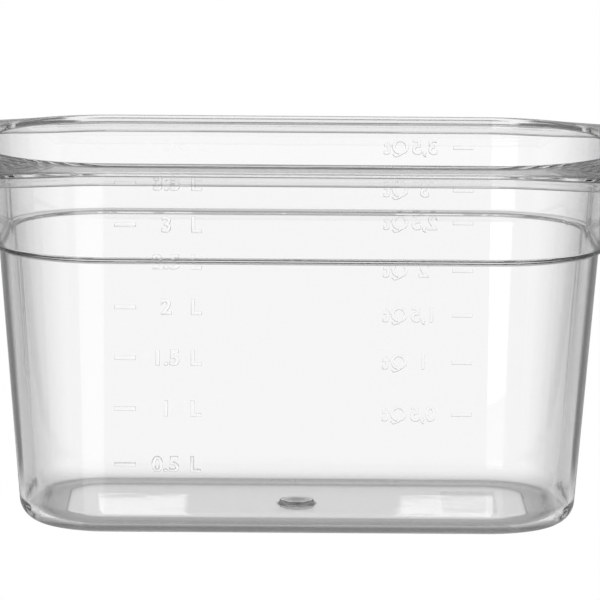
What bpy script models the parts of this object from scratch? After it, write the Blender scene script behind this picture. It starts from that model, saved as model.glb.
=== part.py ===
"""A quarter-size gastronorm container, 150 mm deep, in clear plastic, with the label under its base.

The container is one moulding. Its section, from the gate in the middle of the underside, out to the
foot, up the wall, round the rim and down the inside to the floor, is drawn as corners with fillets. Each
point of that section becomes a level ring, and the rings are joined into one closed skin.
"""

import math

import bpy
import bmesh

# Driving dimensions, in metres
HEIGHT = 0.150
RIM_LENGTH = 0.265
RIM_WIDTH = 0.162
RIM_CORNER_RADIUS = 0.014

# Rim flange: a rounded crown round the mouth, a slope down to the edge, and a skirt with a bead
CROWN_INSET = 0.0073
CROWN_CORNER_RADIUS = 0.050
CROWN_ROUNDING = 0.0012
MOUTH_ROUNDING = 0.0018
RIM_FALL = 0.0023
RIM_THICKNESS = 0.0024
RIM_EDGE_ROUNDING = 0.0007
ROOT_ROUNDING = 0.0006
CORNER_DROOP = 0.0013
SKIRT_DEPTH = 0.0055
SKIRT_THICKNESS = 0.0020
SKIRT_EDGE_ROUNDING = 0.0006
BEAD_HEIGHT = 0.0022
BEAD_PROUD = 0.0004
BEAD_CHAMFER = 0.0003

# Walls
WALL_THICKNESS = 0.0021
DRAFT_ANGLE = math.radians(4.64)
LEDGE_BELOW_RIM = 0.0403
LEDGE_WIDTH = 0.0030
LEDGE_RISE = 0.0012
LEDGE_ROUNDING = 0.0010

# Base
BASE_ROUNDING = 0.010
FLOOR_THICKNESS = 0.0019
FOOT_WIDTH = 0.0040
FOOT_HEIGHT = 0.0005
FOOT_SLOPE_WIDTH = 0.0005

# Gate mark, in the middle of the base: a well under a low dome, with the gate's conical stub in it
GATE_WELL_RADIUS = 0.0054
GATE_WELL_DEPTH = 0.0016
GATE_WELL_TAPER = 0.0005
GATE_STUB_RADIUS = 0.0031
GATE_STUB_TIP_RADIUS = 0.0012
GATE_STUB_HEIGHT = 0.0013

# Label: it lies across the recess under the base, clear of the recess's +X end and back edges
LABEL_LENGTH_SHARE = 0.51
LABEL_WIDTH_SHARE = 0.115
LABEL_CLEARANCE = 0.0155
LABEL_THICKNESS = 0.00012
LABEL_CORNER_RADIUS = 0.0015
TOUCH_GAP = 0.0003

# Smoothness of the mesh
FAN_STEPS = 5
CORNER_STEPS = 4
FILLET_STEP_ANGLE = math.radians(15)
LABEL_CORNER_STEPS = 4
SHARP_ANGLE = math.radians(40)

PART_NAME = "gastronorm_container"
CLEAR_PLASTIC = {"name": "clear_plastic", "colour": (0.93, 0.94, 0.94), "roughness": 0.04, "alpha": 0.35}
LABEL_FILM = {"name": "label_film", "colour": (0.86, 0.86, 0.86), "roughness": 0.55, "alpha": 1.0}

QUARTER_TURN = math.radians(90)
FULL_TURN = math.radians(360)


def clear_scene():
    for thing in list(bpy.data.objects):
        bpy.data.objects.remove(thing, do_unlink=True)


def make_material(look):
    material = bpy.data.materials.new(look["name"])
    material.use_nodes = True
    shader = material.node_tree.nodes["Principled BSDF"]
    shader.inputs["Base Color"].default_value = (*look["colour"], 1)
    shader.inputs["Roughness"].default_value = look["roughness"]
    shader.inputs["Metallic"].default_value = 0
    shader.inputs["Alpha"].default_value = look["alpha"]
    return material


# Plan view: every ring of the wall and the rim is drawn about the same four corner centres

CORNER_X = RIM_LENGTH / 2 - CROWN_INSET - CROWN_CORNER_RADIUS
CORNER_Y = RIM_WIDTH / 2 - CROWN_INSET - CROWN_CORNER_RADIUS
# The rim's own corner is tighter, so its centre lies further out, on the same diagonal
RIM_CENTRE_SHIFT = CROWN_INSET + CROWN_CORNER_RADIUS - RIM_CORNER_RADIUS


def corner_angles():
    """Angles round one corner, closer together where the rim's own corner is rounded."""
    first = math.atan2(RIM_CENTRE_SHIFT, RIM_CENTRE_SHIFT + RIM_CORNER_RADIUS)
    last = QUARTER_TURN - first
    angles = [first * step / FAN_STEPS for step in range(FAN_STEPS)]
    angles += [first + (last - first) * step / CORNER_STEPS for step in range(CORNER_STEPS)]
    angles += [last + first * step / FAN_STEPS for step in range(FAN_STEPS + 1)]
    return angles


def rim_reach(angle, inset):
    """Distance from a corner centre to the rim's outline drawn in by inset, along angle."""
    radius = RIM_CORNER_RADIUS - inset
    side = RIM_CENTRE_SHIFT + radius
    along, across = math.cos(angle), math.sin(angle)
    if min(along, across) * side <= RIM_CENTRE_SHIFT * max(along, across):
        return side / max(along, across)
    off_line = RIM_CENTRE_SHIFT * (along - across)
    return RIM_CENTRE_SHIFT * (along + across) + math.sqrt(radius ** 2 - off_line ** 2)


def plan_ring(reach, level):
    """One closed ring of points. reach and level are functions of the angle round a corner."""
    points = []
    for quarter, (side_x, side_y) in enumerate(((1, 1), (-1, 1), (-1, -1), (1, -1))):
        angles = corner_angles()
        for angle in angles:
            turned = quarter * QUARTER_TURN + angle
            # A corner's own angle runs from its nearest X side to its Y side, or back again
            own = angle if quarter in (0, 2) else QUARTER_TURN - angle
            points.append((
                side_x * CORNER_X + reach(own) * math.cos(turned),
                side_y * CORNER_Y + reach(own) * math.sin(turned),
                level(own),
            ))
    return points


def wall_ring(outset, height):
    """A ring at outset from the crown's line, negative inwards."""
    return plan_ring(lambda angle: CROWN_CORNER_RADIUS + outset, lambda angle: height)


def rim_ring(outset, height):
    """A ring of the skirt and the rim's edge, which droop a little towards the corners."""
    return plan_ring(
        lambda angle: rim_reach(angle, CROWN_INSET - outset),
        lambda angle: height - CORNER_DROOP * math.sin(2 * angle) ** 2,
    )


def round_ring(radius, height):
    """A circle in the middle of the base, with as many points as the other rings."""
    count = 4 * len(corner_angles())
    turns = [(step + 1 / 2) / count * FULL_TURN for step in range(count)]
    return [(radius * math.cos(turn), radius * math.sin(turn), height) for turn in turns]


# Section: points are (outset from the crown's line, height)

def unit(start, end):
    across, up = end[0] - start[0], end[1] - start[1]
    length = math.hypot(across, up)
    return across / length, up / length


def fillet(before, corner, after, radius):
    """Points of the arc that rounds one corner of a section, from its first side to its next."""
    to_before, to_after = unit(corner, before), unit(corner, after)
    opening = math.acos(to_before[0] * to_after[0] + to_before[1] * to_after[1])
    room = min(math.dist(before, corner), math.dist(corner, after)) / 2
    tangent = min(radius / math.tan(opening / 2), room)
    radius = tangent * math.tan(opening / 2)
    middle = unit((0, 0), (to_before[0] + to_after[0], to_before[1] + to_after[1]))
    centre_distance = radius / math.sin(opening / 2)
    centre = corner[0] + middle[0] * centre_distance, corner[1] + middle[1] * centre_distance
    start = math.atan2(
        corner[1] + to_before[1] * tangent - centre[1], corner[0] + to_before[0] * tangent - centre[0]
    )
    end = math.atan2(
        corner[1] + to_after[1] * tangent - centre[1], corner[0] + to_after[0] * tangent - centre[0]
    )
    sweep = (end - start + FULL_TURN / 2) % FULL_TURN - FULL_TURN / 2
    steps = max(1, math.ceil(abs(sweep) / FILLET_STEP_ANGLE))
    turns = [start + sweep * step / steps for step in range(steps + 1)]
    return [(centre[0] + radius * math.cos(turn), centre[1] + radius * math.sin(turn)) for turn in turns]


def rounded(corners):
    """A section through corners, each (outset, height, rounding). Its two ends stay sharp."""
    points = [corners[0][:2]]
    for before, corner, after in zip(corners, corners[1:], corners[2:]):
        if corner[2]:
            points += fillet(before[:2], corner[:2], after[:2], corner[2])
        else:
            points.append(corner[:2])
    return points + [corners[-1][:2]]


def upper_wall(height):
    """Outset of the outer face between the ledge and the rim: it would meet the crown's line at the top."""
    return -(HEIGHT - height) * math.tan(DRAFT_ANGLE)


def lower_wall(height):
    return upper_wall(height) - LEDGE_WIDTH


def inner(outset):
    return outset - WALL_THICKNESS / math.cos(DRAFT_ANGLE)


def rim_underside(outset):
    slope = math.atan2(RIM_FALL, CROWN_INSET - BEAD_PROUD)
    return HEIGHT - outset * math.tan(slope) - RIM_THICKNESS / math.cos(slope)


def ledge_lift():
    """How much higher the ledge lies on the inside, so that it is as thick as the walls."""
    lean = math.atan2(LEDGE_WIDTH + LEDGE_RISE * math.tan(DRAFT_ANGLE), LEDGE_RISE)
    bend = lean - DRAFT_ANGLE
    return WALL_THICKNESS * math.tan(bend / 2) * math.cos(DRAFT_ANGLE)


LEDGE_HEIGHT = HEIGHT - LEDGE_BELOW_RIM
SKIRT_OUTSET = CROWN_INSET - BEAD_PROUD
SKIRT_BOTTOM = HEIGHT - RIM_FALL - SKIRT_DEPTH


def recess_outset():
    """Outset of the edge of the recess under the base, where the foot's inner slope meets it."""
    foot_edge = lower_wall(BASE_ROUNDING) - BASE_ROUNDING / math.cos(DRAFT_ANGLE)
    return foot_edge - FOOT_WIDTH - FOOT_SLOPE_WIDTH


def outer_section():
    """From the recess under the base, over the foot and up the outer face to the rim's root."""
    root = rim_underside(0)
    return rounded([
        (recess_outset(), FOOT_HEIGHT, 0),
        (recess_outset() + FOOT_SLOPE_WIDTH, 0, 0),
        (lower_wall(0), 0, BASE_ROUNDING),
        (lower_wall(LEDGE_HEIGHT), LEDGE_HEIGHT, LEDGE_ROUNDING),
        (upper_wall(LEDGE_HEIGHT + LEDGE_RISE), LEDGE_HEIGHT + LEDGE_RISE, LEDGE_ROUNDING),
        (upper_wall(root), root, 0),
    ])


def skirt_section():
    """From the rim's underside, down inside the skirt, round its bead and up to the rim's edge."""
    skirt_inside = SKIRT_OUTSET - SKIRT_THICKNESS
    bead_top = SKIRT_BOTTOM + BEAD_HEIGHT
    rim_edge = HEIGHT - RIM_FALL
    return rounded([
        (skirt_inside - ROOT_ROUNDING, rim_underside(skirt_inside - ROOT_ROUNDING), 0),
        (skirt_inside, rim_underside(skirt_inside), ROOT_ROUNDING),
        (skirt_inside, SKIRT_BOTTOM, SKIRT_EDGE_ROUNDING),
        (CROWN_INSET, SKIRT_BOTTOM, SKIRT_EDGE_ROUNDING),
        (CROWN_INSET, bead_top, 0),
        (SKIRT_OUTSET, bead_top + BEAD_CHAMFER, 0),
        (SKIRT_OUTSET, rim_edge, RIM_EDGE_ROUNDING),
        (SKIRT_OUTSET - RIM_EDGE_ROUNDING * 2, rim_edge + RIM_EDGE_ROUNDING * 2 * RIM_FALL / SKIRT_OUTSET, 0),
    ])


def inner_section():
    """From the slope of the rim, over the crown and down the inside to the flat of the floor."""
    lift = ledge_lift()
    floor = FOOT_HEIGHT + FLOOR_THICKNESS
    inner_rounding = BASE_ROUNDING - WALL_THICKNESS
    floor_edge = inner(lower_wall(floor + inner_rounding)) - inner_rounding / math.cos(DRAFT_ANGLE)
    foot, head = LEDGE_HEIGHT + lift, LEDGE_HEIGHT + LEDGE_RISE + lift
    return rounded([
        (SKIRT_OUTSET / 2, HEIGHT - RIM_FALL / 2, 0),
        (0, HEIGHT, CROWN_ROUNDING),
        (inner(upper_wall(HEIGHT)), HEIGHT, MOUTH_ROUNDING),
        (inner(upper_wall(head)), head, LEDGE_ROUNDING),
        (inner(lower_wall(foot)), foot, LEDGE_ROUNDING),
        (inner(lower_wall(floor)), floor, inner_rounding),
        (floor_edge - FOOT_WIDTH, floor, 0),
    ])


def gate_under():
    """The well under the base, with the gate's stub hanging in it."""
    top = FOOT_HEIGHT + GATE_WELL_DEPTH
    return [
        (GATE_STUB_TIP_RADIUS, top - GATE_STUB_HEIGHT),
        (GATE_STUB_RADIUS, top),
        (GATE_WELL_RADIUS - GATE_WELL_TAPER, top),
        (GATE_WELL_RADIUS, FOOT_HEIGHT),
    ]


def gate_over():
    """The low dome over the well, which keeps the floor as thick there."""
    floor = FOOT_HEIGHT + FLOOR_THICKNESS
    return [
        (GATE_WELL_RADIUS + FLOOR_THICKNESS, floor),
        (GATE_WELL_RADIUS + FLOOR_THICKNESS - GATE_WELL_TAPER, floor + GATE_WELL_DEPTH),
    ]


def make_container(collection):
    rings = [round_ring(*point) for point in gate_under()]
    rings += [wall_ring(*point) for point in outer_section()]
    rings += [rim_ring(*point) for point in skirt_section()]
    rings += [wall_ring(*point) for point in inner_section()[1:]]
    rings += [round_ring(*point) for point in gate_over()]

    mesh = bmesh.new()
    loops = [[mesh.verts.new(point) for point in ring] for ring in rings]
    for lower, upper in zip(loops, loops[1:]):
        count = len(lower)
        for here in range(count):
            there = (here + 1) % count
            mesh.faces.new((lower[here], lower[there], upper[there], upper[here]))
    mesh.faces.new(reversed(loops[0]))
    mesh.faces.new(loops[-1])
    bmesh.ops.recalc_face_normals(mesh, faces=mesh.faces)
    return add_object("container_body", mesh, CLEAR_PLASTIC, collection)


def make_label(collection):
    """A thin sheet with rounded corners, just under the recess in the base."""
    recess_end = CORNER_X + CROWN_CORNER_RADIUS + recess_outset()
    recess_back = CORNER_Y + CROWN_CORNER_RADIUS + recess_outset()
    width = LABEL_WIDTH_SHARE * 2 * recess_end
    length = LABEL_LENGTH_SHARE * 2 * recess_back
    outline = []
    centre_x = width / 2 - LABEL_CORNER_RADIUS
    centre_y = length / 2 - LABEL_CORNER_RADIUS
    for quarter, (side_x, side_y) in enumerate(((1, 1), (-1, 1), (-1, -1), (1, -1))):
        for step in range(LABEL_CORNER_STEPS + 1):
            turn = (quarter + step / LABEL_CORNER_STEPS) * QUARTER_TURN
            outline.append((
                side_x * centre_x + LABEL_CORNER_RADIUS * math.cos(turn),
                side_y * centre_y + LABEL_CORNER_RADIUS * math.sin(turn),
                0,
            ))
    mesh = bmesh.new()
    sheet = mesh.faces.new([mesh.verts.new(point) for point in outline])
    raised = bmesh.ops.extrude_face_region(mesh, geom=[sheet])
    corners = [item for item in raised["geom"] if isinstance(item, bmesh.types.BMVert)]
    bmesh.ops.translate(mesh, verts=corners, vec=(0, 0, LABEL_THICKNESS))
    bmesh.ops.recalc_face_normals(mesh, faces=mesh.faces)
    label = add_object("base_label", mesh, LABEL_FILM, collection)
    label.location = (
        recess_end - LABEL_CLEARANCE - width / 2,
        recess_back - LABEL_CLEARANCE - length / 2,
        FOOT_HEIGHT - TOUCH_GAP - LABEL_THICKNESS,
    )
    return label


def add_object(name, mesh, look, collection):
    data = bpy.data.meshes.new(name)
    mesh.to_mesh(data)
    mesh.free()
    data.materials.append(make_material(look))
    data.shade_smooth()
    data.set_sharp_from_angle(angle=SHARP_ANGLE)
    thing = bpy.data.objects.new(name, data)
    collection.objects.link(thing)
    return thing


def main():
    clear_scene()
    collection = bpy.data.collections.new(PART_NAME)
    bpy.context.scene.collection.children.link(collection)
    body = make_container(collection)
    label = make_label(collection)
    label.parent = body


main()
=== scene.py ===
"""The looks of the quarter-size gastronorm container: clear moulded plastic on a white floor.

The body is drawn again from the section of the CAD solid, with finer fillets and corners and a rounder
base, so that light bends through it without facets. The graduations are raised marks laid on the two
long walls.
"""

import math

import bmesh
import bpy
from mathutils import Matrix, Vector


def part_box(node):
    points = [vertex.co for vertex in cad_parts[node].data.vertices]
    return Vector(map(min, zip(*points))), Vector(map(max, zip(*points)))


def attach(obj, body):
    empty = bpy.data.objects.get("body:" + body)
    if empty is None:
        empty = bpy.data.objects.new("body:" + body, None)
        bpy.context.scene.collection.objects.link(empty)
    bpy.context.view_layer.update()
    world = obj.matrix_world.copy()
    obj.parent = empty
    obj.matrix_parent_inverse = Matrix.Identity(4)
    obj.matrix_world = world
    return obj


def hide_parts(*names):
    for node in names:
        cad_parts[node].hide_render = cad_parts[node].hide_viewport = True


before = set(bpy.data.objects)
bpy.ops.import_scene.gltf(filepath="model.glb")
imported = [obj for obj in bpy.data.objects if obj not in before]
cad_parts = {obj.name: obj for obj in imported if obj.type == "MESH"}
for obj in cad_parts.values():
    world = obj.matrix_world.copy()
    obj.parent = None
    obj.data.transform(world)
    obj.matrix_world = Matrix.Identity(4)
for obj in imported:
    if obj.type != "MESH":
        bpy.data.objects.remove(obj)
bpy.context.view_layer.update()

# Size over all, from the frame, and the radius of the rim's own corners. Lengths are in metres
LOWEST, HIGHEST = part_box("container_body")
HEIGHT = HIGHEST.z - LOWEST.z
RIM_LENGTH = HIGHEST.x - LOWEST.x
RIM_WIDTH = HIGHEST.y - LOWEST.y
RIM_CORNER_RADIUS = 0.014

# Rim flange: a rounded crown round the mouth, a slope down to the edge, and a skirt with a bead
CROWN_INSET = 0.0073
CROWN_CORNER_RADIUS = 0.050
CROWN_ROUNDING = 0.0012
MOUTH_ROUNDING = 0.0018
RIM_FALL = 0.0023
RIM_THICKNESS = 0.0024
RIM_EDGE_ROUNDING = 0.0007
ROOT_ROUNDING = 0.0006
CORNER_DROOP = 0.0013
SKIRT_DEPTH = 0.0055
SKIRT_THICKNESS = 0.0020
SKIRT_EDGE_ROUNDING = 0.00095
BEAD_HEIGHT = 0.0022
BEAD_PROUD = 0.0004
BEAD_CHAMFER = 0.0006

# Walls
WALL_THICKNESS = 0.0021
DRAFT_ANGLE = math.radians(4.64)
LEDGE_BELOW_RIM = 0.0400
LEDGE_WIDTH = 0.0030
LEDGE_RISE = 0.0009
LEDGE_ROUNDING = 0.0008

# Base
BASE_ROUNDING = 0.0145
FLOOR_THICKNESS = 0.0019
FOOT_WIDTH = 0.0040
FOOT_HEIGHT = 0.0005
FOOT_SLOPE_WIDTH = 0.0005

# Gate mark, in the middle of the base: a well under a low dome, with the gate's conical stub in it
GATE_WELL_RADIUS = 0.0054
GATE_WELL_DEPTH = 0.0016
GATE_WELL_TAPER = 0.0005
GATE_WELL_ROUNDING = 0.0003
GATE_STUB_RADIUS = 0.0031
GATE_STUB_TIP_RADIUS = 0.0012
GATE_STUB_HEIGHT = 0.0013
GATE_DOME_ROUNDING = 0.0005

# Graduations: raised marks on the outside of the long walls, with the height of each above the foot
LITRE_MARKS = {
    "0.5 L": 0.0291, "1 L": 0.0516, "1.5 L": 0.0721, "2 L": 0.0925, "2.5 L": 0.1107, "3 L": 0.1258,
    "3.5 L": 0.1425,
}
QUART_MARKS = {
    "0,5 Qt": 0.0281, "1 Qt": 0.0495, "1,5 Qt": 0.0690, "2 Qt": 0.0874, "2,5 Qt": 0.1070,
    "3 Qt": 0.1200, "3,5 Qt": 0.1374,
}
MARK_PROUD = 0.00022
# The marks' backs stand off the wall by this much, and their relief shrinks to a share on the ledge
MARK_GAP = 0.00002
LEDGE_MARK_SHARE = 0.05
MARK_ROUNDING = 0.00055
STROKE_TRIM = 0.00025
FIGURE_HEIGHT = 0.0054
FIGURE_SPACING = 1.05
# A capital's height as a share of the font's size
CAPITAL_HEIGHT_SHARE = 0.63
DASH_LENGTH = 0.0078
DASH_HEIGHT = 0.0010
# Distances of the dash, the figures and the unit from the middle of the wall
DASH_FROM_MIDDLE = 0.0680
FIGURES_FROM_MIDDLE = 0.0520
UNIT_FROM_MIDDLE = 0.0405

# Smoothness of the mesh
OUTLINE_STEPS = 4
EDGE_STEPS = 3
FAN_STEPS = 14
CORNER_STEPS = 14
FILLET_STEP_ANGLE = math.radians(6)
SHARP_ANGLE = math.radians(35)
WELD_DISTANCE = 0.000001

# Camera, as the photograph was taken
CAMERA_DISTANCE = 2.4218
CAMERA_HEIGHT = 0.4759
CAMERA_TURN = 0.0062
CAMERA_ROLL = 0.0080
AIM = Vector((0.0007, 0, 0.0851))
LENS = 366.6
SENSOR_WIDTH = 36

# Looks of the plastic and the label
WAVE_SCALE = 38
WAVE_DETAIL = 2
WAVE_STRENGTH = 0.015
WAVE_DEPTH = 0.001
PATCH_SCALE = 22
PATCH_DETAIL = 4
PATCH_RANGE = (0.35, 0.75)
PATCH_ROUGHNESS = 0.01
# Stops of a ramp of painted shade: how far the surface turns away from the view, and the share of light
# it lets through
GRAZING_SHADE = ((0.12, 1.0), (0.45, 0.65), (0.82, 0.65), (1.0, 0.30))
# The same for the painted shade at the gate: the distance from its middle, as a share of the radius,
# and the light
GATE_SHADE_RADIUS = 0.0085
GATE_SHADE = ((0, 0.15), (0.33, 0.15), (0.42, 1), (0.73, 1), (0.78, 0.15), (0.92, 0.15), (0.98, 1))
# Painted shade on the flange and its skirt: the share of light they let through
FLANGE_SHADE = 0.85
PLASTIC_COLOUR = (0.5, 0.5, 0.5)
PLASTIC_DENSITY = 4
PLASTIC_IOR = 1.585
LABEL_ROUGHNESS = 0.12
LABEL_IOR = 1.1
GRAIN_SCALE = 900
GRAIN_DETAIL = 2
GRAIN_SHADES = (0.88, 0.98)

# Studio: shades are brightnesses, where 1 is plain white
FLOOR_SIZE = 60
FLOOR_DROP = 0.0002
TABLE_BACK_SHADE = 0.83
TABLE_FRONT_SHADE = 0.85
WORLD_BACK_SHADE = 0.6
WORLD_FRONT_SHADE = 0.98
# The two dark cards: where they fade in and out, from straight behind (0) to straight in front (1)
CARD_SHADE = 0.05
CARD_TURNS = (0.045, 0.062, 0.25, 0.29)
# On the table they are painted shade, which starts beside the container and fades in over a stretch
# towards the back
CARD_EDGE = 0.13
CARD_START = (0.005, 0.065)
# The painted shade of the table under the base, and the painted shadow of the dim ring round the foot:
# where they fade in and out, as distances in plan from the rectangle between the corner centres
UNDER_SHADE = 0.75
CONTACT_SHADE = 0.17
CONTACT_REACH = (0.016, 0.018, 0.0290, 0.0340)
TABLE_REFLECTED_SHADE = 0.25
TABLE_MIRROR = 0.5
LOW_REFLECTED_SHADE = 0.25
HIGH_REFLECTED_SHADE = 0.6
CEILING_SHADE = 0.1
CEILING_START = (0.3, 0.7)
# The two windows, in slopes: sideways from their middle, and upwards
WINDOW_SHADE = 1.1
WINDOW_MIDDLE = 0.0057
WINDOW_EDGES = (0.0178, 0.0385)
WINDOW_SILL = 0.1939
WINDOW_TOP = 0.35
WINDOW_SOFTNESS = 0.0005
SOFTBOX_AZIMUTH = math.radians(-20)
SOFTBOX_DISTANCE = 2.0
SOFTBOX_WIDTH = 0.95
SOFTBOX_HEIGHT = 1.2
SOFTBOX_BRIGHTNESS = 1.25
LIGHT_BOUNCES = 128

QUARTER_TURN = math.radians(90)
FULL_TURN = math.radians(360)
# The signs of X and Y in each quarter of the plan, anticlockwise from +X
QUARTERS = ((1, 1), (-1, 1), (-1, -1), (1, -1))
# The corners of a square, in their order round it
SQUARE = ((-1, -1), (1, -1), (1, 1), (-1, 1))


# Plan view: every ring of the wall and the rim is drawn about the same four corner centres

CORNER_X = RIM_LENGTH / 2 - CROWN_INSET - CROWN_CORNER_RADIUS
CORNER_Y = RIM_WIDTH / 2 - CROWN_INSET - CROWN_CORNER_RADIUS
# The rim's own corner is tighter, so its centre lies further out, on the same diagonal
RIM_CENTRE_SHIFT = CROWN_INSET + CROWN_CORNER_RADIUS - RIM_CORNER_RADIUS


def corner_angles():
    """Angles round one corner, closer together where the rim's own corner is rounded."""
    first = math.atan2(RIM_CENTRE_SHIFT, RIM_CENTRE_SHIFT + RIM_CORNER_RADIUS)
    last = QUARTER_TURN - first
    angles = [first * step / FAN_STEPS for step in range(FAN_STEPS)]
    angles += [first + (last - first) * step / CORNER_STEPS for step in range(CORNER_STEPS)]
    angles += [last + first * step / FAN_STEPS for step in range(FAN_STEPS + 1)]
    return angles


def rim_reach(angle, inset):
    """Distance from a corner centre to the rim's outline drawn in by inset, along angle."""
    radius = RIM_CORNER_RADIUS - inset
    side = RIM_CENTRE_SHIFT + radius
    along, across = math.cos(angle), math.sin(angle)
    if min(along, across) * side <= RIM_CENTRE_SHIFT * max(along, across):
        return side / max(along, across)
    off_line = RIM_CENTRE_SHIFT * (along - across)
    return RIM_CENTRE_SHIFT * (along + across) + math.sqrt(radius ** 2 - off_line ** 2)


def plan_ring(reach, level):
    """One closed ring of points. reach and level are functions of the angle round a corner."""
    points = []
    for quarter, (side_x, side_y) in enumerate(QUARTERS):
        for angle in corner_angles():
            turned = quarter * QUARTER_TURN + angle
            # A corner's own angle runs from its nearest X side to its Y side, or back again
            own = angle if quarter in (0, 2) else QUARTER_TURN - angle
            points.append((
                side_x * CORNER_X + reach(own) * math.cos(turned),
                side_y * CORNER_Y + reach(own) * math.sin(turned),
                level(own),
            ))
    return points


def wall_ring(outset, height):
    """A ring at outset from the crown's line, negative inwards."""
    return plan_ring(lambda angle: CROWN_CORNER_RADIUS + outset, lambda angle: height)


def rim_ring(outset, height):
    """A ring of the skirt and the rim's edge, which droop a little towards the corners."""
    return plan_ring(
        lambda angle: rim_reach(angle, CROWN_INSET - outset),
        lambda angle: height - CORNER_DROOP * math.sin(2 * angle) ** 2,
    )


def round_ring(radius, height):
    """A circle in the middle of the base, with as many points as the other rings."""
    count = len(QUARTERS) * len(corner_angles())
    turns = [(step + 1 / 2) / count * FULL_TURN for step in range(count)]
    return [(radius * math.cos(turn), radius * math.sin(turn), height) for turn in turns]


# Section: points are (outset from the crown's line, height)

def unit(start, end):
    across, up = end[0] - start[0], end[1] - start[1]
    length = math.hypot(across, up)
    return across / length, up / length


def fillet(before, corner, after, radius):
    """Points of the arc that rounds one corner of a section, from its first side to its next."""
    to_before, to_after = unit(corner, before), unit(corner, after)
    opening = math.acos(to_before[0] * to_after[0] + to_before[1] * to_after[1])
    # The arc takes up no more than half of either side
    room = min(math.dist(before, corner), math.dist(corner, after)) / 2
    tangent = min(radius / math.tan(opening / 2), room)
    radius = tangent * math.tan(opening / 2)
    middle = unit((0, 0), (to_before[0] + to_after[0], to_before[1] + to_after[1]))
    centre_distance = radius / math.sin(opening / 2)
    across, up = corner[0] + middle[0] * centre_distance, corner[1] + middle[1] * centre_distance
    start, end = (
        math.atan2(corner[1] + side[1] * tangent - up, corner[0] + side[0] * tangent - across)
        for side in (to_before, to_after)
    )
    sweep = (end - start + FULL_TURN / 2) % FULL_TURN - FULL_TURN / 2
    steps = max(1, math.ceil(abs(sweep) / FILLET_STEP_ANGLE))
    turns = [start + sweep * step / steps for step in range(steps + 1)]
    return [(across + radius * math.cos(turn), up + radius * math.sin(turn)) for turn in turns]


def rounded(corners):
    """A section through corners, each (outset, height, rounding). Its two ends stay sharp."""
    points = [corners[0][:2]]
    for before, corner, after in zip(corners, corners[1:], corners[2:]):
        if corner[2]:
            points += fillet(before[:2], corner[:2], after[:2], corner[2])
        else:
            points.append(corner[:2])
    return points + [corners[-1][:2]]


def upper_wall(height):
    """Outset of the outer face above the ledge. It would meet the crown's line at the top."""
    return -(HEIGHT - height) * math.tan(DRAFT_ANGLE)


def lower_wall(height):
    return upper_wall(height) - LEDGE_WIDTH


def inner(outset):
    return outset - WALL_THICKNESS / math.cos(DRAFT_ANGLE)


def rim_underside(outset):
    slope = math.atan2(RIM_FALL, CROWN_INSET - BEAD_PROUD)
    return HEIGHT - outset * math.tan(slope) - RIM_THICKNESS / math.cos(slope)


def ledge_lift():
    """How much higher the ledge lies on the inside, so that it is as thick as the walls."""
    lean = math.atan2(LEDGE_WIDTH + LEDGE_RISE * math.tan(DRAFT_ANGLE), LEDGE_RISE)
    bend = lean - DRAFT_ANGLE
    return WALL_THICKNESS * math.tan(bend / 2) * math.cos(DRAFT_ANGLE)


LEDGE_HEIGHT = HEIGHT - LEDGE_BELOW_RIM
SKIRT_OUTSET = CROWN_INSET - BEAD_PROUD
SKIRT_BOTTOM = HEIGHT - RIM_FALL - SKIRT_DEPTH


def outer_section():
    """From the recess under the base, over the foot and up the outer face to the rim's root."""
    foot_edge = lower_wall(BASE_ROUNDING) - BASE_ROUNDING / math.cos(DRAFT_ANGLE)
    recess_edge = foot_edge - FOOT_WIDTH
    root = rim_underside(0)
    return rounded([
        (recess_edge - FOOT_SLOPE_WIDTH - FOOT_WIDTH, FOOT_HEIGHT, 0),
        (recess_edge - FOOT_SLOPE_WIDTH, FOOT_HEIGHT, FOOT_SLOPE_WIDTH),
        (recess_edge, 0, FOOT_SLOPE_WIDTH),
        (lower_wall(0), 0, BASE_ROUNDING),
        (lower_wall(LEDGE_HEIGHT), LEDGE_HEIGHT, LEDGE_ROUNDING),
        (upper_wall(LEDGE_HEIGHT + LEDGE_RISE), LEDGE_HEIGHT + LEDGE_RISE, LEDGE_ROUNDING),
        (upper_wall(root), root, ROOT_ROUNDING),
        (ROOT_ROUNDING * 2, rim_underside(ROOT_ROUNDING * 2), 0),
    ])


def skirt_section():
    """From the rim's underside, down inside the skirt, round its bead and up to the rim's edge."""
    skirt_inside = SKIRT_OUTSET - SKIRT_THICKNESS
    bead_top = SKIRT_BOTTOM + BEAD_HEIGHT
    rim_edge = HEIGHT - RIM_FALL
    run = RIM_EDGE_ROUNDING * 2
    return rounded([
        (skirt_inside - ROOT_ROUNDING * 2, rim_underside(skirt_inside - ROOT_ROUNDING * 2), 0),
        (skirt_inside, rim_underside(skirt_inside), ROOT_ROUNDING),
        (skirt_inside, SKIRT_BOTTOM, SKIRT_EDGE_ROUNDING),
        (CROWN_INSET, SKIRT_BOTTOM, SKIRT_EDGE_ROUNDING),
        (CROWN_INSET, bead_top, BEAD_CHAMFER / 2),
        (SKIRT_OUTSET, bead_top + BEAD_CHAMFER, BEAD_CHAMFER / 2),
        (SKIRT_OUTSET, rim_edge, RIM_EDGE_ROUNDING),
        (SKIRT_OUTSET - run, rim_edge + run * RIM_FALL / SKIRT_OUTSET, 0),
    ])


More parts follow.
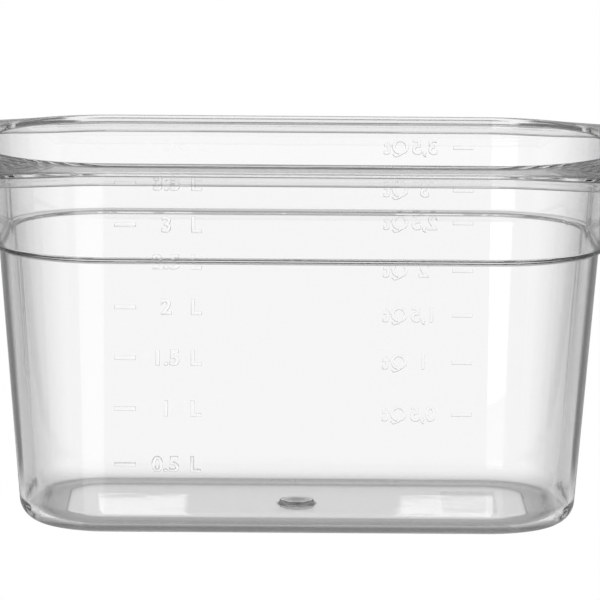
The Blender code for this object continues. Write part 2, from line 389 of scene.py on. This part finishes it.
def inner_section():
    """From the slope of the rim, over the crown and down the inside to the flat of the floor."""
    lift = ledge_lift()
    floor = FOOT_HEIGHT + FLOOR_THICKNESS
    inner_rounding = BASE_ROUNDING - WALL_THICKNESS
    floor_edge = inner(lower_wall(floor + inner_rounding)) - inner_rounding / math.cos(DRAFT_ANGLE)
    foot, head = LEDGE_HEIGHT + lift, LEDGE_HEIGHT + LEDGE_RISE + lift
    return rounded([
        (SKIRT_OUTSET / 2, HEIGHT - RIM_FALL / 2, 0),
        (0, HEIGHT, CROWN_ROUNDING),
        (inner(upper_wall(HEIGHT)), HEIGHT, MOUTH_ROUNDING),
        (inner(upper_wall(head)), head, LEDGE_ROUNDING),
        (inner(lower_wall(foot)), foot, LEDGE_ROUNDING),
        (inner(lower_wall(floor)), floor, inner_rounding),
        (floor_edge - FOOT_WIDTH, floor, 0),
    ])


def gate_under():
    """The well under the base, with the gate's stub hanging in it."""
    top = FOOT_HEIGHT + GATE_WELL_DEPTH
    return rounded([
        (GATE_STUB_TIP_RADIUS / 2, top - GATE_STUB_HEIGHT, 0),
        (GATE_STUB_TIP_RADIUS, top - GATE_STUB_HEIGHT, GATE_WELL_ROUNDING),
        (GATE_STUB_RADIUS, top, GATE_WELL_ROUNDING),
        (GATE_WELL_RADIUS - GATE_WELL_TAPER, top, GATE_WELL_ROUNDING),
        (GATE_WELL_RADIUS, FOOT_HEIGHT, GATE_WELL_ROUNDING),
        (GATE_WELL_RADIUS + GATE_WELL_TAPER, FOOT_HEIGHT, 0),
    ])


def gate_over():
    """The low dome over the well, which keeps the floor as thick there."""
    floor = FOOT_HEIGHT + FLOOR_THICKNESS
    dome_radius = GATE_WELL_RADIUS + FLOOR_THICKNESS
    return rounded([
        (dome_radius + GATE_DOME_ROUNDING * 2, floor, 0),
        (dome_radius, floor, GATE_DOME_ROUNDING),
        (dome_radius - GATE_WELL_TAPER, floor + GATE_WELL_DEPTH, GATE_DOME_ROUNDING),
        (GATE_STUB_TIP_RADIUS / 2, floor + GATE_WELL_DEPTH, 0),
    ])


def add_object(name, data):
    thing = bpy.data.objects.new(name, data)
    bpy.context.scene.collection.objects.link(thing)
    return thing


def show(name, mesh, material):
    """Makes a smooth piece of the object from a bmesh. It rides on the part's one body."""
    data = bpy.data.meshes.new(name)
    mesh.to_mesh(data)
    mesh.free()
    data.materials.append(material)
    data.shade_smooth()
    data.set_sharp_from_angle(angle=SHARP_ANGLE)
    piece = add_object(name, data)
    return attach(piece, "root")


def make_body(material):
    rings = [round_ring(*point) for point in gate_under()]
    rings += [wall_ring(*point) for point in outer_section()]
    rings += [rim_ring(*point) for point in skirt_section()]
    # One strip of faces makes the rim's slope, from its edge to the crown
    rings += [wall_ring(*point) for point in inner_section()[1:]]
    rings += [round_ring(*point) for point in gate_over()]

    mesh = bmesh.new()
    loops = [[mesh.verts.new(point) for point in ring] for ring in rings]
    for lower, upper in zip(loops, loops[1:]):
        for here in range(len(lower)):
            there = (here + 1) % len(lower)
            mesh.faces.new((lower[here], lower[there], upper[there], upper[here]))
    mesh.faces.new(reversed(loops[0]))
    mesh.faces.new(loops[-1])
    bmesh.ops.recalc_face_normals(mesh, faces=mesh.faces)
    body = show("moulded_body", mesh, material)
    body.modifiers.new("even normals", "WEIGHTED_NORMAL").keep_sharp = True
    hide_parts("container_body")
    return body


# Graduations

def relief_mesh(curve):
    """The closed mesh of a flat curve in the XY plane, with its edges rounded."""
    curve.resolution_u = OUTLINE_STEPS
    curve.bevel_depth = MARK_ROUNDING
    curve.bevel_resolution = EDGE_STEPS
    curve.offset = -STROKE_TRIM
    holder = add_object(curve.name, curve)
    bpy.context.view_layer.update()
    data = bpy.data.meshes.new_from_object(holder)
    bpy.data.objects.remove(holder)
    bpy.data.curves.remove(curve)
    return data


def figures_mesh(words):
    curve = bpy.data.curves.new("figures", "FONT")
    curve.body = words
    curve.align_x = "CENTER"
    curve.size = FIGURE_HEIGHT / CAPITAL_HEIGHT_SHARE
    curve.space_character = FIGURE_SPACING
    return relief_mesh(curve)


def dash_mesh():
    curve = bpy.data.curves.new("dash", "CURVE")
    curve.dimensions = "2D"
    curve.fill_mode = "BOTH"
    outline = curve.splines.new("POLY")
    # A new spline has its first point already
    outline.points.add(len(SQUARE) - 1)
    for point, (side, up) in zip(outline.points, SQUARE):
        point.co = (side * DASH_LENGTH / 2, up * DASH_HEIGHT / 2, 0, 1)
    outline.use_cyclic_u = True
    return relief_mesh(curve)


def outer_face(height):
    """Distance of a long wall's outer face from the middle plane."""
    points = [point for point in outer_section() if point[1] > BASE_ROUNDING / 2]
    for (low, low_height), (high, high_height) in zip(points, points[1:]):
        if low_height <= height <= high_height:
            share = (height - low_height) / (high_height - low_height)
            return CORNER_Y + CROWN_CORNER_RADIUS + low + (high - low) * share
    return CORNER_Y + CROWN_CORNER_RADIUS + upper_wall(height)


def add_mark(target, words, height, facing):
    """Adds one graduation on the long wall that faces along Y: facing is -1 in front and 1 behind."""
    figures, unit_name = words.split()
    mesh = bmesh.new()
    places = (
        (dash_mesh(), -DASH_FROM_MIDDLE, 0),
        (figures_mesh(figures), -FIGURES_FROM_MIDDLE, -FIGURE_HEIGHT / 2),
        (figures_mesh(unit_name), -UNIT_FROM_MIDDLE, -FIGURE_HEIGHT / 2),
    )
    for data, across, up in places:
        data.transform(Matrix.Translation((across, up, 0)))
        mesh.from_mesh(data)
        bpy.data.meshes.remove(data)
    # A curve's caps are loose
    bmesh.ops.remove_doubles(mesh, verts=mesh.verts, dist=WELD_DISTANCE)
    # Cut level lines across the mark, so that it can follow the ledge
    for level in [point[1] for point in outer_section() if abs(point[1] - height) < FIGURE_HEIGHT]:
        everything = list(mesh.verts) + list(mesh.edges) + list(mesh.faces)
        bmesh.ops.bisect_plane(
            mesh, geom=everything, plane_co=(0, level - height, 0), plane_no=(0, 1, 0)
        )
    for point in mesh.verts:
        side, up, out = point.co
        level = height + up
        # The back is flat, a hair off the wall, and the ledge leaves no room for relief
        rise = max(out, 0) * MARK_PROUD / MARK_ROUNDING
        if -LEDGE_ROUNDING < level - LEDGE_HEIGHT < LEDGE_RISE + LEDGE_ROUNDING:
            rise *= LEDGE_MARK_SHARE
        point.co = (-facing * side, facing * (outer_face(level) + MARK_GAP + rise), level)
    data = bpy.data.meshes.new("mark")
    mesh.to_mesh(data)
    mesh.free()
    target.from_mesh(data)
    bpy.data.meshes.remove(data)


def make_marks(material):
    """The graduations of both long walls, litres in front and quarts behind."""
    mesh = bmesh.new()
    for graduations, facing in ((LITRE_MARKS, -1), (QUART_MARKS, 1)):
        for words, height in graduations.items():
            add_mark(mesh, words, height, facing)
    marks = show("graduations", mesh, material)
    return marks


# Materials

def connect(links, value, socket):
    """Links value to socket where it is another node's output, and sets it where it is a number."""
    if isinstance(value, bpy.types.NodeSocket):
        links.new(value, socket)
    else:
        socket.default_value = value


def math_node(nodes, links, operation, *values):
    node = nodes.new("ShaderNodeMath")
    node.operation = operation
    for value, socket in zip(values, node.inputs):
        connect(links, value, socket)
    return node.outputs["Value"]


def mixed(nodes, links, factor, first, second):
    mix = nodes.new("ShaderNodeMix")
    for name, value in (("Factor", factor), ("A", first), ("B", second)):
        connect(links, value, mix.inputs[name])
    return mix.outputs["Result"]


def mapped(nodes, links, value, from_low, from_high, to_low, to_high):
    node = nodes.new("ShaderNodeMapRange")
    for socket, setting in zip(node.inputs, (value, from_low, from_high, to_low, to_high)):
        connect(links, setting, socket)
    return node.outputs["Result"]


def noise(nodes, links, place, scale, detail):
    node = nodes.new("ShaderNodeTexNoise")
    node.inputs["Scale"].default_value = scale
    node.inputs["Detail"].default_value = detail
    links.new(place, node.inputs["Vector"])
    return node.outputs["Fac"]


def ramp_node(nodes, links, value, stops):
    """Grey shades along value. stops are (position, shade)."""
    node = nodes.new("ShaderNodeValToRGB")
    elements = node.color_ramp.elements
    while len(elements) < len(stops):
        elements.new(1 / 2)
    for element, (position, shade) in zip(elements, stops):
        element.position = position
        element.color = (shade, shade, shade, 1)
    links.new(value, node.inputs["Fac"])
    return node.outputs["Color"]


def new_material(name):
    material = bpy.data.materials.new(name)
    material.use_nodes = True
    return material, material.node_tree.nodes, material.node_tree.links


def past(nodes, links, value, edge):
    """How far value lies beyond edge on either side of zero, and zero between."""
    beyond = math_node(nodes, links, "SUBTRACT", math_node(nodes, links, "ABSOLUTE", value), edge)
    return math_node(nodes, links, "MAXIMUM", beyond, 0)


def length_of(nodes, links, across, along):
    flat = nodes.new("ShaderNodeCombineXYZ")
    length = nodes.new("ShaderNodeVectorMath")
    length.operation = "LENGTH"
    links.new(across, flat.inputs["X"])
    links.new(along, flat.inputs["Y"])
    links.new(flat.outputs["Vector"], length.inputs[0])
    return length.outputs["Value"]


def reach_past_corners(nodes, links, parts):
    """Distance in plan from the rectangle between the corner centres, and zero inside it."""
    across = past(nodes, links, parts.outputs["X"], CORNER_X)
    return length_of(nodes, links, across, past(nodes, links, parts.outputs["Y"], CORNER_Y))


def clear_plastic():
    """Polycarbonate: clear, slightly grey in the thick, with the faint waves of a moulding."""
    material, nodes, links = new_material("clear_polycarbonate")
    shader = nodes["Principled BSDF"]
    shader.inputs["Transmission Weight"].default_value = 1
    shader.inputs["IOR"].default_value = PLASTIC_IOR
    place = nodes.new("ShaderNodeTexCoord").outputs["Object"]

    # Faint waves of the mould's polish
    waves = noise(nodes, links, place, WAVE_SCALE, WAVE_DETAIL)
    bump = nodes.new("ShaderNodeBump")
    bump.inputs["Strength"].default_value = WAVE_STRENGTH
    bump.inputs["Distance"].default_value = WAVE_DEPTH
    links.new(waves, bump.inputs["Height"])
    links.new(bump.outputs["Normal"], shader.inputs["Normal"])

    # Handling marks: patches that are a little less polished
    patches = noise(nodes, links, place, PATCH_SCALE, PATCH_DETAIL)
    roughness = mapped(nodes, links, patches, *PATCH_RANGE, 0, PATCH_ROUGHNESS)
    links.new(roughness, shader.inputs["Roughness"])

    # Painted shade: the base colour darkens as the surface turns away from the view, so that edges and
    # walls seen edge-on look dark
    grazing = nodes.new("ShaderNodeLayerWeight")
    grazing.inputs["Blend"].default_value = 1 / 2
    film = ramp_node(nodes, links, grazing.outputs["Facing"], GRAZING_SHADE)

    # Painted shade: the stub of the gate and the wall of its well are darker
    parts = nodes.new("ShaderNodeSeparateXYZ")
    links.new(place, parts.inputs["Vector"])
    off_axis = length_of(nodes, links, parts.outputs["X"], parts.outputs["Y"])
    share = math_node(nodes, links, "DIVIDE", off_axis, GATE_SHADE_RADIUS)
    gate_shade = ramp_node(nodes, links, share, GATE_SHADE)

    # Painted shade: the flange and its skirt are a little darker than the walls
    reach = reach_past_corners(nodes, links, parts)
    on_flange = math_node(nodes, links, "GREATER_THAN", reach, CROWN_CORNER_RADIUS)
    flange_shade = mixed(nodes, links, on_flange, 1.0, FLANGE_SHADE)
    painted_shades = math_node(nodes, links, "MULTIPLY", gate_shade, flange_shade)
    links.new(math_node(nodes, links, "MULTIPLY", film, painted_shades), shader.inputs["Base Color"])

    absorb = nodes.new("ShaderNodeVolumeAbsorption")
    absorb.inputs["Color"].default_value = (*PLASTIC_COLOUR, 1)
    absorb.inputs["Density"].default_value = PLASTIC_DENSITY
    links.new(absorb.outputs["Volume"], nodes["Material Output"].inputs["Volume"])
    return material


def label_film():
    """Pale frosted film, a little uneven, that lets the light of the table through."""
    material, nodes, links = new_material("frosted_label_film")
    shader = nodes["Principled BSDF"]
    shader.inputs["Roughness"].default_value = LABEL_ROUGHNESS
    shader.inputs["Transmission Weight"].default_value = 1
    shader.inputs["IOR"].default_value = LABEL_IOR
    place = nodes.new("ShaderNodeTexCoord").outputs["Object"]
    grain = noise(nodes, links, place, GRAIN_SCALE, GRAIN_DETAIL)
    shade = mapped(nodes, links, grain, 0, 1, *GRAIN_SHADES)
    links.new(shade, shader.inputs["Base Color"])
    return material


# Stage

def by_ray(nodes, links, refracted, reflected):
    """Brightness of what the camera sees straight, bent by the plastic, or reflected by it."""
    path = nodes.new("ShaderNodeLightPath")
    indirect = mixed(nodes, links, path.outputs["Is Transmission Ray"], reflected, refracted)
    return mixed(nodes, links, path.outputs["Is Camera Ray"], indirect, 1.0)


def room_shade(nodes, links, across, away, back, front):
    """Brightness round the room by the angle from straight behind: two dark cards stand at the back."""
    angle = math_node(nodes, links, "ABSOLUTE", math_node(nodes, links, "ARCTAN2", across, away))
    turn = math_node(nodes, links, "DIVIDE", angle, FULL_TURN / 2)
    return ramp_node(nodes, links, turn, list(zip(CARD_TURNS, (back, CARD_SHADE, CARD_SHADE, front))))


def near_shade(nodes, links, parts, room):
    """Brightness of the table under the base and in the dim ring round its foot, both painted shade.
    Room is the rest.
    """
    reach = reach_past_corners(nodes, links, parts)
    under_end, ring_start, ring_end, room_start = CONTACT_REACH
    ring = mapped(nodes, links, reach, under_end, ring_start, UNDER_SHADE, CONTACT_SHADE)
    far = mapped(nodes, links, reach, ring_end, room_start, 0, 1)
    return mixed(nodes, links, far, ring, room)


def white_floor():
    """A white acrylic table: plain white to the camera, and a faint mirror through the plastic, with
    painted shade under the base, round the foot and for the dark cards.
    """
    material, nodes, links = new_material("white_floor")
    output = nodes["Material Output"]
    nodes.remove(nodes["Principled BSDF"])
    place = nodes.new("ShaderNodeNewGeometry").outputs["Position"]
    parts = nodes.new("ShaderNodeSeparateXYZ")
    links.new(place, parts.inputs["Vector"])
    # Painted shade on the table: the dark cards, as darker wedges behind the sides that fade in towards
    # the back
    beyond = past(nodes, links, parts.outputs["X"], CARD_EDGE)
    cards = room_shade(nodes, links, beyond, parts.outputs["Y"], TABLE_BACK_SHADE, TABLE_FRONT_SHADE)
    started = mapped(nodes, links, parts.outputs["Y"], *CARD_START, 0, 1)
    room = mixed(nodes, links, started, TABLE_FRONT_SHADE, cards)
    refracted = near_shade(nodes, links, parts, room)
    glow = nodes.new("ShaderNodeEmission")
    links.new(by_ray(nodes, links, refracted, TABLE_REFLECTED_SHADE), glow.inputs["Strength"])

    mirror = nodes.new("ShaderNodeBsdfGlossy")
    mirror.inputs["Roughness"].default_value = 0
    mirror.inputs["Color"].default_value = (TABLE_MIRROR, TABLE_MIRROR, TABLE_MIRROR, 1)
    both = nodes.new("ShaderNodeAddShader")
    choice = nodes.new("ShaderNodeMixShader")
    path = nodes.new("ShaderNodeLightPath")
    links.new(glow.outputs["Emission"], both.inputs[0])
    links.new(mirror.outputs["BSDF"], both.inputs[1])
    links.new(path.outputs["Is Camera Ray"], choice.inputs["Fac"])
    links.new(both.outputs["Shader"], choice.inputs[1])
    links.new(glow.outputs["Emission"], choice.inputs[2])
    links.new(choice.outputs["Shader"], output.inputs["Surface"])
    return material


def make_floor():
    data = bpy.data.meshes.new("floor")
    reach = FLOOR_SIZE / 2
    corners = [(across * reach, along * reach, -FLOOR_DROP) for across, along in SQUARE]
    data.from_pydata(corners, [], [tuple(range(len(corners)))])
    data.materials.append(white_floor())
    floor = add_object("floor", data)


def beyond_edge(nodes, links, value, edge, before, after):
    """A soft step from before to after where value crosses edge."""
    return mapped(nodes, links, value, edge - WINDOW_SOFTNESS, edge + WINDOW_SOFTNESS, before, after)


def window_share(nodes, links, parts):
    """One where a direction meets either of the two bright windows behind, and zero elsewhere."""
    turn = math_node(nodes, links, "DIVIDE", parts.outputs["X"], parts.outputs["Y"])
    off_middle = math_node(nodes, links, "SUBTRACT", turn, WINDOW_MIDDLE)
    aside = math_node(nodes, links, "ABSOLUTE", off_middle)
    rise = math_node(nodes, links, "DIVIDE", parts.outputs["Z"], parts.outputs["Y"])
    near, far = WINDOW_EDGES
    limits = (
        beyond_edge(nodes, links, aside, near, 0, 1),
        beyond_edge(nodes, links, aside, far, 1, 0),
        beyond_edge(nodes, links, rise, WINDOW_SILL, 0, 1),
        beyond_edge(nodes, links, rise, WINDOW_TOP, 1, 0),
    )
    share = math_node(nodes, links, "GREATER_THAN", parts.outputs["Y"], 0)
    for limit in limits:
        share = math_node(nodes, links, "MULTIPLY", share, limit)
    return share


def make_world():
    """A white room with two dark cards and two bright windows at the back, dimmer overhead."""
    world = bpy.data.worlds.new("studio")
    bpy.context.scene.world = world
    world.use_nodes = True
    nodes, links = world.node_tree.nodes, world.node_tree.links
    parts = nodes.new("ShaderNodeSeparateXYZ")
    links.new(nodes.new("ShaderNodeTexCoord").outputs["Generated"], parts.inputs["Vector"])
    round_shade = room_shade(
        nodes, links, parts.outputs["X"], parts.outputs["Y"], WORLD_BACK_SHADE, WORLD_FRONT_SHADE
    )
    overhead = mapped(nodes, links, parts.outputs["Z"], *CEILING_START, 0, 1)
    room = mixed(nodes, links, overhead, round_shade, CEILING_SHADE)
    refracted = mixed(nodes, links, window_share(nodes, links, parts), room, WINDOW_SHADE)
    nodes["Background"].inputs["Color"].default_value = (1, 1, 1, 1)
    reflected = mixed(nodes, links, overhead, LOW_REFLECTED_SHADE, HIGH_REFLECTED_SHADE)
    links.new(by_ray(nodes, links, refracted, reflected), nodes["Background"].inputs["Strength"])


def make_softbox():
    """A tall lamp in front, on the left, that stands on the table and faces the object."""
    data = bpy.data.lights.new("front_left_softbox", "AREA")
    data.shape = "RECTANGLE"
    data.size, data.size_y = SOFTBOX_WIDTH, SOFTBOX_HEIGHT
    data.energy = SOFTBOX_BRIGHTNESS * math.pi * SOFTBOX_WIDTH * SOFTBOX_HEIGHT
    lamp = add_object("front_left_softbox", data)
    middle = SOFTBOX_HEIGHT / 2
    across = SOFTBOX_DISTANCE * math.sin(SOFTBOX_AZIMUTH)
    lamp.location = (across, -SOFTBOX_DISTANCE * math.cos(SOFTBOX_AZIMUTH), middle)
    lamp.rotation_euler = (Vector((0, 0, middle)) - lamp.location).to_track_quat("-Z", "Y").to_euler()
    lamp.visible_camera = False


def make_camera():
    data = bpy.data.cameras.new("camera")
    data.lens = LENS
    data.sensor_width = SENSOR_WIDTH
    camera = add_object("camera", data)
    across = -CAMERA_DISTANCE * math.sin(CAMERA_TURN)
    camera.location = (across, -CAMERA_DISTANCE * math.cos(CAMERA_TURN), CAMERA_HEIGHT)
    look = (AIM - camera.location).to_track_quat("-Z", "Y").to_matrix()
    camera.rotation_euler = (look @ Matrix.Rotation(CAMERA_ROLL, 3, "Z")).to_euler()
    bpy.context.scene.camera = camera


def main():
    plastic = clear_plastic()
    make_body(plastic)
    make_marks(plastic)
    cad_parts["base_label"].material_slots[0].material = label_film()
    make_floor()
    make_world()
    make_softbox()
    make_camera()

    scene = bpy.context.scene
    scene.view_settings.view_transform = "Standard"
    scene.cycles.max_bounces = LIGHT_BOUNCES
    scene.cycles.transmission_bounces = LIGHT_BOUNCES
    scene.cycles.glossy_bounces = LIGHT_BOUNCES
    scene.cycles.use_denoising = True


main()
